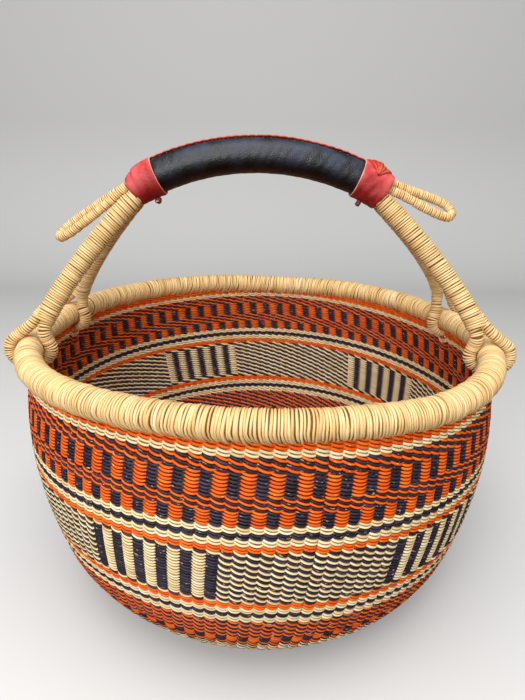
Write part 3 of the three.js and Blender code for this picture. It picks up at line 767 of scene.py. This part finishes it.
RIM_TURNS = 620
RIM_POINTS = 18
RIM_STRAW = 1.1
RIM_BOW = 0.4  # the turns bow aside on the outward side
RIM_DRAG = 3.0  # and are dragged the other way below
RIM_LIFT = 0.5
RIM_CORE = RIM_TUBE - 1.8
# Shares of the pitch: how far turns lean together, how far each slides, and half a turn's width
LEAN_SHARE, SLIDE_SHARE, RIM_TURN_SHARE = 0.45, 0.15, 0.55


def around_rim(ring, out, up):
    reach = RIM_RADIUS + out
    sag = REAR_SAG * hump(angle_away(ring, REAR_SAG_ANGLE), 0, REAR_SAG_WIDTH)
    level = RIM_HEIGHT + sway(ring, MOUTH_HEIGHT) + up - sag
    return np.stack([reach * np.cos(ring) + stretch(ring, MOUTH_HEIGHT), reach * np.sin(ring), level], -1)


def add_rim():
    strands = Strands()
    pitch = 2 * math.pi * RIM_RADIUS / RIM_TURNS
    t = np.arange(RIM_TURNS * RIM_POINTS) / RIM_POINTS
    section = 2 * np.pi * t
    fade = np.minimum(1, np.minimum(t, RIM_TURNS - t) / 3)  # so that the last turn meets the first
    lean = wavering(t, RIM_TURNS, LEAN_SHARE * pitch, 1 / 6) * np.sin(section + 0.6)
    slide = wavering(t, RIM_TURNS, SLIDE_SHARE * pitch, 5)
    lower = np.clip(-np.sin(section), 0, 1)
    aside = (lean + slide * (1 + 0.9 * lower)) * fade - RIM_BOW * np.cos(section) + RIM_DRAG * lower**1.5
    ring = section / RIM_TURNS + aside / RIM_RADIUS
    below = lower**3 * (1 - around_feet(ring))
    drop = (0.3 + rng.normal(0, 0.8, RIM_TURNS)[t.astype(int)]) * below - RIM_LIFT
    radius = RIM_TUBE - RIM_STRAW + wavering(t, RIM_TURNS, 0.3, 2) * fade
    places = around_rim(ring, np.cos(section) * radius * (1 - 0.2 * below), np.sin(section) * radius - drop)
    outs = np.stack([np.cos(section) * np.cos(ring), np.cos(section) * np.sin(ring), np.sin(section)], -1)
    tint = straw_tint(t, RIM_TURNS, 0.06)
    half_aside = RIM_TURN_SHARE * pitch * (1 + wavering(t, RIM_TURNS, 0.2, 5))
    strands.tube(places, outs, RIM_STRAW, half_aside, STRAW_SIDES, 0, tint, closed=True)
    ring = np.linspace(0, 2 * np.pi, 240, endpoint=False)
    outs = np.stack([np.cos(ring), np.sin(ring), np.zeros(len(ring))], -1)
    strands.tube(around_rim(ring, 0, RIM_LIFT), outs, RIM_CORE, RIM_CORE, 20, 1, 0.4, closed=True)
    strands.build("rim_winding", [straw, core_grass], "basket", "straw_binding", "rim_core", "rim_binding")


add_rim()


# The handle's middle line

GRIP_ARC = 212.0
GRIP_HALF_CHORD = 85.5
GRIP_TOP = RIM_HEIGHT + 153.0
GRIP_SHIFT = -4.0
SLEEVE = 14.4
CUFF_LENGTH = 22.0
CUFF_TURN = math.radians(10)
GRIP_HALF_TURN = math.asin(GRIP_HALF_CHORD / GRIP_ARC)
GRIP_HALF = GRIP_ARC * GRIP_HALF_TURN
CUFF_END = GRIP_HALF + CUFF_LENGTH
CUFF_BEND = CUFF_LENGTH / CUFF_TURN
LEAN_START = RIM_HEIGHT + 22.0


def grip_frame(s):
    """Places on the handle's middle line by length from its top, with the upward direction there."""
    s = np.asarray(s, float)
    side, length = np.sign(s), np.abs(s)
    turn = np.minimum(length, GRIP_HALF) / GRIP_ARC
    past = np.maximum(length - GRIP_HALF, 0)
    slope = turn + past / CUFF_BEND
    x = GRIP_ARC * np.sin(turn) + CUFF_BEND * (np.sin(slope) - np.sin(turn))
    z = GRIP_TOP - GRIP_ARC * (1 - np.cos(turn)) - CUFF_BEND * (np.cos(turn) - np.cos(slope))
    at = np.stack([side * x, np.zeros_like(x), z], -1)
    up = np.stack([side * np.sin(slope), np.zeros_like(x), np.cos(slope)], -1)
    return at, up


ACROSS = np.array([0.0, 1.0, 0.0])


def grip_point(s, across, up):
    at, normal = grip_frame(s)
    return at + ACROSS * across + normal * up


def leaned(points):
    """The grip leans to one side, more the higher it is over the rim."""
    points = np.array(points, float)
    points[..., 0] += GRIP_SHIFT * smooth((points[..., 2] - LEAN_START) / (GRIP_TOP - LEAN_START))
    return points


# Legs and loops

LEG_SIDESTEP = 6.5
LEG_DROP = 5.5
LEG_EASE = 38.0
LEG_FOOT_EASE = 30.0
LEG_SLOPE, LEG_SPLAY = math.radians(42), math.radians(15)
LEG_FOOT_SLOPE, LEG_FOOT_SPLAY = math.radians(58), math.radians(49)
LEG_FOOT_INSET = 13.0
LEG_RADIUS = 8.6
LEG_PITCH, FINGER_PITCH, EAR_PITCH = 2.05, 1.95, 1.8
INNER_FINGER, OUTER_FINGER = 5.7, 5.0
FINGER_UNDER = 3.4  # the fingers are flatter under the rim
FINGER_FULL_SHARE = 0.62  # of a finger, before it flattens
LOOP_DEPTH = RIM_TUBE + 0.6 + FINGER_UNDER
LOOP_INNER = -(RIM_TUBE + 0.2 + INNER_FINGER)
LOOP_OUTER = RIM_TUBE + 0.1 + OUTER_FINGER
LOOP_SHOULDER = 1.04  # how far the outer finger stands off the rim at its shoulder
INNER_SHOULDERS = [math.radians(150)]
OUTER_SHOULDERS = [math.radians(58), math.radians(30)]
# Where the fingers start in the leg: how far past its foot, and aside
INNER_TOPS = [(-12, 1.2), (-3, 2.0), (6.0, 3.0)]
OUTER_TOPS = [(-12, 3.6), (-3, 6.0), (5.0, 8.4)]


def direction(side, depth, slope, splay):
    flat = math.cos(slope)
    return np.array([side * flat * math.cos(splay), depth * flat * math.sin(splay), -math.sin(slope)])


def leg_line(angle, rise):
    side, depth = math.copysign(1, math.cos(angle)), math.copysign(1, math.sin(angle))
    start = grip_point(side * CUFF_END, depth * LEG_SIDESTEP, -LEG_DROP)
    end = around_rim(angle, -LEG_FOOT_INSET, rise)
    first = direction(side, depth, LEG_SLOPE, LEG_SPLAY)
    last = direction(side, depth, LEG_FOOT_SLOPE, LEG_FOOT_SPLAY)
    t = np.linspace(0, 1, 60)[:, None]
    a, b = start + first * LEG_EASE, end - last * LEG_FOOT_EASE
    line = start * (1 - t) ** 3 + 3 * a * t * (1 - t) ** 2 + 3 * b * t**2 * (1 - t) + end * t**3
    return line, end, last


def finger_lines(angle, rise):
    """The two fingers of a loop, from the leg's foot down to where they meet under the rim."""
    _, end, last = leg_line(angle, rise)
    outward = around_rim(angle, 1, 0) - around_rim(angle, 0, 0)
    aside = unit(outward - last * np.dot(outward, last))
    middle, half = (LOOP_INNER + LOOP_OUTER) / 2, (LOOP_OUTER - LOOP_INNER) / 2

    def beside(turn, off=1.0):
        return around_rim(angle, middle + off * half * math.cos(turn), off * LOOP_DEPTH * math.sin(turn))

    def finger(way, tops, shoulders, under):
        points = [end + last * lead + aside * way * apart for lead, apart in tops]
        return catmull([*points, *shoulders, *under], 12)

    under = [beside(math.pi * (1 + i / 8)) for i in range(9)]
    inner = finger(-1, INNER_TOPS, [beside(turn) for turn in INNER_SHOULDERS], under[:5])
    outer = finger(1, OUTER_TOPS, [beside(turn, LOOP_SHOULDER) for turn in OUTER_SHOULDERS], under[:3:-1])
    return inner, outer


def finger_radius(full, share):
    return lerp(full, FINGER_UNDER, smooth((share - FINGER_FULL_SHARE) / (1 - FINGER_FULL_SHARE)))


def straw_piece(strands, name, slot, node):
    strands.build(name, [straw, core_grass], "handle", slot, node)


def add_legs():
    for name, angle in FEET.items():
        strands = Strands()
        line, _, _ = leg_line(angle, FOOT_RISES[name])
        path = Path(leaned(line))

        def radius_at(share, path=path):
            at, _, _ = path.at(share * path.length)
            return np.minimum(LEG_RADIUS, np.abs(at[:, 1]) + 0.6)

        hand = math.copysign(1, math.sin(angle))
        wound(strands, path, -1.0, path.length - 1.0, radius_at, LEG_PITCH, hand=hand)
        filling(strands, path, 0, path.length - 1.0, lambda share: radius_at(share) - 1.7)
        straw_piece(strands, name + "_leg", "straw_binding", name + "_leg_winding")
        strands = Strands()
        for line, full in zip(finger_lines(angle, FOOT_RISES[name]), (INNER_FINGER, OUTER_FINGER)):
            path = Path(leaned(line))

            def radius_at(share, full=full):
                return finger_radius(full, share)

            wound(strands, path, 0, path.length, radius_at, FINGER_PITCH, points=12)
            filling(strands, path, 0, path.length, lambda share: radius_at(share) - 1.5, sides=10)
        straw_piece(strands, name + "_loop", "straw_binding", name + "_rim_loop")


add_legs()


# Ears

EAR_STRAND = 4.05
EAR_END = 3.7
EAR_SIDESTEP = 4.1
EAR_SHARES = [(0.3, 0.56), (0.62, 0.86), (0.86, 0.88), (0.965, 0.55)]
# Each ear's side, length, half width, lift at the cuff, and its slope, its roll and its roll in the cuff
EARS = {
    "left_ear": (-1, 82.5, 7.4, 5.2, 33.5, 27, 5),
    "right_ear": (1, 64.0, 8.8, 7.6, 22.5, 40, 45),
}


def ear_line(side, length, half_width, lift, *angles):
    slope, roll, cuff_roll = (math.radians(a) for a in angles)
    start = grip_point(side * CUFF_END, 0, lift)
    along = np.array([side * math.cos(slope), 0, -math.sin(slope)])
    up = np.array([side * math.sin(slope), 0, math.cos(slope)])
    wide = up * math.sin(roll) + ACROSS * math.cos(roll)
    reach = length - EAR_END

    def place(share, width):
        return start + along * share * reach + wide * width * half_width

    def cuff(way, back):
        step = way * EAR_SIDESTEP
        rise = lift + step * math.sin(cuff_roll) - back * 0.2
        return grip_point(side * (CUFF_END - back), step * math.cos(cuff_roll), rise)

    going = [place(*share) for share in EAR_SHARES]
    coming = [place(share, -width) for share, width in EAR_SHARES][::-1]
    return catmull([cuff(1, 8), cuff(1, 0), *going, place(1, 0), *coming, cuff(-1, 0), cuff(-1, 8)], 12)


def add_ears():
    for name, ear in EARS.items():
        strands = Strands()
        path = Path(leaned(ear_line(*ear)))

        def radius_at(share):
            return np.full(len(share), EAR_STRAND)

        wound(strands, path, 0, path.length, radius_at, EAR_PITCH, 0.9, 12)
        filling(strands, path, 0, path.length, lambda share: radius_at(share) - 1.3, 10)
        straw_piece(strands, name, "grass_core", "left_hairpin" if name == "right_ear" else "right_hairpin")


add_ears()


# The grip

def skin(name, rings, thickness, material, edge=None, edge_rows=()):
    """A thin tube of leather: an outer and an inner face that meet at both ends. The cut edges and some
    rows of faces beside them can have a material of their own."""
    rings = np.asarray(rings)
    n, sides = rings.shape[:2]
    middle = rings.mean(1, keepdims=True)
    inward = unit(middle - rings) * thickness
    places = np.concatenate([rings, (rings + inward)[::-1]])
    total = 2 * n
    quads = ring_quads(total, total, sides)
    mesh = bpy.data.meshes.new(name)
    mesh.from_pydata((places.reshape(-1, 3) * MM).tolist(), [], quads.tolist())
    mesh.polygons.foreach_set("use_smooth", np.ones(len(quads), bool))
    mesh.materials.append(material)
    if edge:
        mesh.materials.append(edge)
        own = np.isin(np.arange(total).repeat(sides), [n - 1, total - 1, *edge_rows])
        mesh.polygons.foreach_set("material_index", own.astype(np.int32))
    return new_object(name, mesh)


LEATHER_SIDES = 96


def grip_rings(start, end, steps, radius_at):
    """Rings round the grip. radius_at takes the length along it and the angle up from the rear."""
    s = np.linspace(start, end, steps)
    turn = 2 * np.pi * np.arange(LEATHER_SIDES) / LEATHER_SIDES
    at, up = grip_frame(s)
    radius = radius_at(s[:, None], turn[None, :])
    outs = np.cos(turn)[None, :, None] * ACROSS + np.sin(turn)[None, :, None] * up[:, None, :]
    rings = at[:, None, :] + radius[..., None] * outs
    return leaned(rings)


SEAM = math.radians(73)
LACE_PITCH = 6.2
LACE_REACH = GRIP_HALF - 5.0
SLEEVE_STEPS, SLEEVE_WALL = 220, 1.2


def sleeve_radius(s, turn):
    """The sleeve pulls up into a scalloped ridge along the laced seam, and wrinkles a little."""
    away = angle_away(turn, SEAM)
    scallop = 0.55 + 0.45 * np.cos(2 * np.pi * s / LACE_PITCH)
    ridge = (0.3 + 0.4 * scallop) * hump(away, 0, 0.12)
    pull = -0.4 * hump(np.abs(away), 0.3, 0.16)
    wrinkle = 0.12 * np.sin(s * 0.31 + 2.1 * np.sin(turn)) + 0.1 * np.sin(s * 0.83 + 5 * turn)
    ends = 0.35 * hump(np.abs(s), GRIP_HALF, 3.0)
    return SLEEVE - 0.35 + ridge + pull + wrinkle * 0.6 - ends


CUFF_LAP = 3.0
CUFF_STEPS, CUFF_WALL = 44, 1.1
CUFF_OVER = 1.4  # how far the cuff stands over the sleeve
CUFF_EAR = math.radians(105)
CUFFS = {"left": (-1, 1.7, 1.9), "right": (1, 0.1, 0.0)}  # side, taper and pinch round the ear


def cuff_radius(s, turn, taper, pinch):
    """The cuff is drawn in where it ends, most over the ear, and its leather laps over itself once."""
    past = np.clip((np.abs(s) - GRIP_HALF) / CUFF_LENGTH, 0, 1)
    end = hump(np.abs(s), CUFF_END, 1.4)
    border = hump(np.abs(s), GRIP_HALF - CUFF_LAP, 0.9)
    over_ear = hump(angle_away(turn, CUFF_EAR), 0, 0.75)
    hug = pinch * (smooth((past - 0.6) / 0.14) + 0.7 * smooth((past - 0.75) / 0.25)) * over_ear
    around = (turn - 0.9) % (2 * np.pi)
    lap = 0.55 * smooth(around / 0.2) * (1 - smooth(around / 6.0))
    crease = 0.16 * np.sin(s * 0.9 + 3 * turn) * np.sin(2 * turn + 0.5) + 0.1 * np.sin(7 * turn + s * 0.5)
    return SLEEVE + CUFF_OVER - taper * past - 0.35 * end - 0.3 * border - hug + lap + crease * 0.8


def add_grip():
    rings = grip_rings(-GRIP_HALF, GRIP_HALF, SLEEVE_STEPS, sleeve_radius)
    sleeve = skin("leather_sleeve", rings, SLEEVE_WALL, black_leather)
    dress(sleeve, "handle", "black_leather", "grip_sleeve", "grip_wrap")
    for name, (side, taper, pinch) in CUFFS.items():
        start, end = sorted((side * (GRIP_HALF - CUFF_LAP), side * CUFF_END))

        def radius(s, turn, taper=taper, pinch=pinch):
            return cuff_radius(s, turn, taper, pinch)

        rings = grip_rings(start, end, CUFF_STEPS, radius)
        border_row = 0 if side > 0 else CUFF_STEPS - 2
        cuff = skin(name + "_leather_cuff", rings, CUFF_WALL, red_leather, cut_edge, [border_row])
        dress(cuff, "handle", "red_leather", name + "_cuff")


add_grip()


def out_at(s, turn):
    """Places on the middle line, and the directions outwards from it at angles up from the rear."""
    at, up = grip_frame(s)
    turn = np.broadcast_to(turn, np.shape(s))[:, None]
    return at, np.cos(turn) * ACROSS + np.sin(turn) * up


def strip(strands, s, turn, out, *half_and_sides, tint=0.5):
    """A strip of leather over the grip, by its places along it, its angles and its distances out."""
    at, outs = out_at(s, turn)
    strands.tube(leaned(at + outs * out[:, None]), outs, *half_and_sides, 0, tint)


def add_lace():
    """A flat thong along the seam, and a thinner one that whips over the ridge behind it."""
    strands = Strands()
    s = np.linspace(-LACE_REACH - 2, LACE_REACH + 2, 160)
    wobble = np.sin(2 * np.pi * s / LACE_PITCH)
    strip(strands, s, SEAM + 0.12 + 0.03 * wobble, SLEEVE + 0.95 + 0.12 * wobble, 0.9, 2.0, 10)
    turns = round(2 * LACE_REACH / LACE_PITCH)
    t = np.linspace(0, turns, turns * 14 + 1)
    s = -LACE_REACH + 2 * LACE_REACH * t / turns
    a = 2 * np.pi * t
    strip(strands, s, SEAM - 0.03 + 0.15 * np.sin(a), SLEEVE + 0.9 + 0.5 * np.cos(a), 0.6, 1.2, 8, tint=0.6)
    strands.build("whipped_lace", [lace_leather], "handle", "lace_leather", "grip_lacing")


add_lace()


KNOT_TIP = (9.0, 148.0)  # past the grip's end, and up from the rear in degrees
# Where the folds end, likewise, and how high each stands
KNOT_FOLDS = [(-1.0, 66.0, 0.8), (3.0, 60.0, 2.2), (8.0, 58.0, 2.7), (13.5, 62.0, 1.6), (19.0, 70.0, 0.7)]
FOLD_POINTS = 15
# The ends of the ties: cuff, side, degrees up from the rear, places along the grip and out from it,
# radius and material
TIE_PLACE = GRIP_HALF + 7.3
TIE_ENDS = [
    ("right", 1, 262, [(0, 14.5), (0.2, 17.5), (-0.5, 20.8)], 2.1, 0),
    ("left", -1, 262, [(-3.4, 18.4), (0, 17.0), (3.2, 18.2)], 1.9, 0),
    ("left", -1, 262, [(-0.6, 14.5), (-0.2, 17.5), (0.4, 20.4)], 1.9, 0),
    ("left", -1, 250, [(-2.2, 19.0), (-0.8, 18.6), (0.8, 19.0)], 0.8, 1),
]


def fold(strands, offset, turn, lift):
    """One fold of the knot: a strip that widens from the knot's tip to the top of the cuff and over it."""
    share = np.linspace(0, 1, FOLD_POINTS)
    place = GRIP_HALF + lerp(KNOT_TIP[0], offset, share**0.8)
    radius = cuff_radius(place, math.radians(90), *CUFFS["right"][1:])
    out = radius - 0.4 + lift * np.sin(np.pi * share**0.7) ** 0.8
    thick = 0.8 + 0.5 * np.sin(np.pi * share)
    wide = lerp(0.7, 3.1, smooth(share * 1.4)) * (1 - 0.3 * smooth((share - 0.7) / 0.3))
    strip(strands, place, np.radians(lerp(KNOT_TIP[1], turn, share)), out, thick, wide, 12)


def stub(strands, points, radius, slot):
    """A short round-ended peg through points."""
    line = catmull(leaned(points), 6)
    share = np.linspace(-1, 1, len(line))
    half = radius * np.sqrt(np.maximum(1 - share**8, 0.02))
    strands.tube(line, np.tile(ACROSS, (len(line), 1)), half, half, 12, slot)


def add_knots():
    """The gathered knot over the right cuff, and the ends of the ties under both cuffs."""
    strands = Strands()
    for offset, turn, lift in KNOT_FOLDS:
        fold(strands, offset, turn, lift)
    strands.build("lace_knot_folds", [lace_leather], "handle", "lace_leather", "lace_knot")
    ties = {"left": Strands(), "right": Strands()}
    for name, side, turn, places, radius, slot in TIE_ENDS:
        along, out = np.array(places).T
        at, outs = out_at(side * TIE_PLACE + along, math.radians(turn))
        stub(ties[name], at + outs * out[:, None], radius, slot)
    looks = [tie_leather, cut_edge]
    for name, strands in ties.items():
        strands.build(name + "_tie_end", looks, "handle", "lace_leather", name + "_cuff_tie")


add_knots()


# Surroundings, light and camera

SEEN_FLOOR, LIT_FLOOR = (0.8, 0.79, 0.77, 1), (0.1, 0.09, 0.08, 1)  # for the camera, and for light
FLOOR_SIZE, FLOOR_BACK, FLOOR_BEND, BACKDROP_HEIGHT = 3.0, 1.6, 0.5, 2.6


def add_floor():
    look = Look("pale_floor")
    rays = look.node("LightPath")["Is Camera Ray"]
    look.shade("Base Color", look.mix(rays, LIT_FLOOR, SEEN_FLOOR))
    look.shader.inputs["Roughness"].default_value = 0.9
    front = FLOOR_BACK - FLOOR_BEND
    profile = [(-FLOOR_SIZE, 0.0), (front, 0.0)]
    for a in np.linspace(0.1, math.pi / 2, 12):
        profile.append((front + FLOOR_BEND * math.sin(a), FLOOR_BEND - FLOOR_BEND * math.cos(a)))
    profile.append((FLOOR_BACK, BACKDROP_HEIGHT))
    places = [(x, y, z) for y, z in profile for x in (-FLOOR_SIZE, FLOOR_SIZE)]
    faces = [(2 * i, 2 * i + 1, 2 * i + 3, 2 * i + 2) for i in range(len(profile) - 1)]
    mesh = bpy.data.meshes.new("floor")
    mesh.from_pydata(places, [], faces)
    mesh.polygons.foreach_set("use_smooth", np.ones(len(faces), bool))
    mesh.materials.append(look.material)
    new_object("floor", mesh)


add_floor()


# Place, what it points at, size and power of each lamp
LAMPS = {
    "overhead": ((-0.1, -0.5, 1.6), (0, 0, 0.15), 1.2, 14),
    "front": ((-0.35, -1.4, 0.85), (0, 0, 0.12), 1.1, 17),
}
SKY, SKY_STRENGTH = (0.95, 0.97, 1.0, 1), 0.55


def add_light():
    world = bpy.data.worlds.new("studio")
    bpy.context.scene.world = world
    world.use_nodes = True
    background = world.node_tree.nodes["Background"]
    background.inputs["Color"].default_value = SKY
    background.inputs["Strength"].default_value = SKY_STRENGTH
    for name, (place, target, size, power) in LAMPS.items():
        light = bpy.data.lights.new(name, "AREA")
        light.size = size
        light.energy = power
        lamp = new_object(name, light)
        lamp.location = place
        lamp.rotation_euler = (Vector(target) - Vector(place)).to_track_quat("-Z", "Y").to_euler()


add_light()

CAMERA_PLACE = (0.0, -0.4653, 0.3777)
CAMERA_PITCH, CAMERA_YAW, CAMERA_ROLL = (math.radians(a) for a in (20.01, 0.19, 0.63))
FOCAL_PIXELS, IMAGE_WIDTH = 530.0, 525.0
SENSOR_WIDTH = 36.0


def add_camera():
    data = bpy.data.cameras.new("camera")
    data.sensor_fit = "HORIZONTAL"
    data.sensor_width = SENSOR_WIDTH
    data.lens = SENSOR_WIDTH * FOCAL_PIXELS / IMAGE_WIDTH
    data.clip_start = 0.01
    camera = new_object("camera", data)
    turn = Matrix.Rotation(-CAMERA_YAW, 4, "Z") @ Matrix.Rotation(math.pi / 2 - CAMERA_PITCH, 4, "X")
    roll = Matrix.Rotation(CAMERA_ROLL, 4, "Z")
    camera.matrix_world = Matrix.Translation(CAMERA_PLACE) @ turn @ roll
    bpy.context.scene.camera = camera


add_camera()
bpy.context.scene.view_settings.view_transform = "Standard"
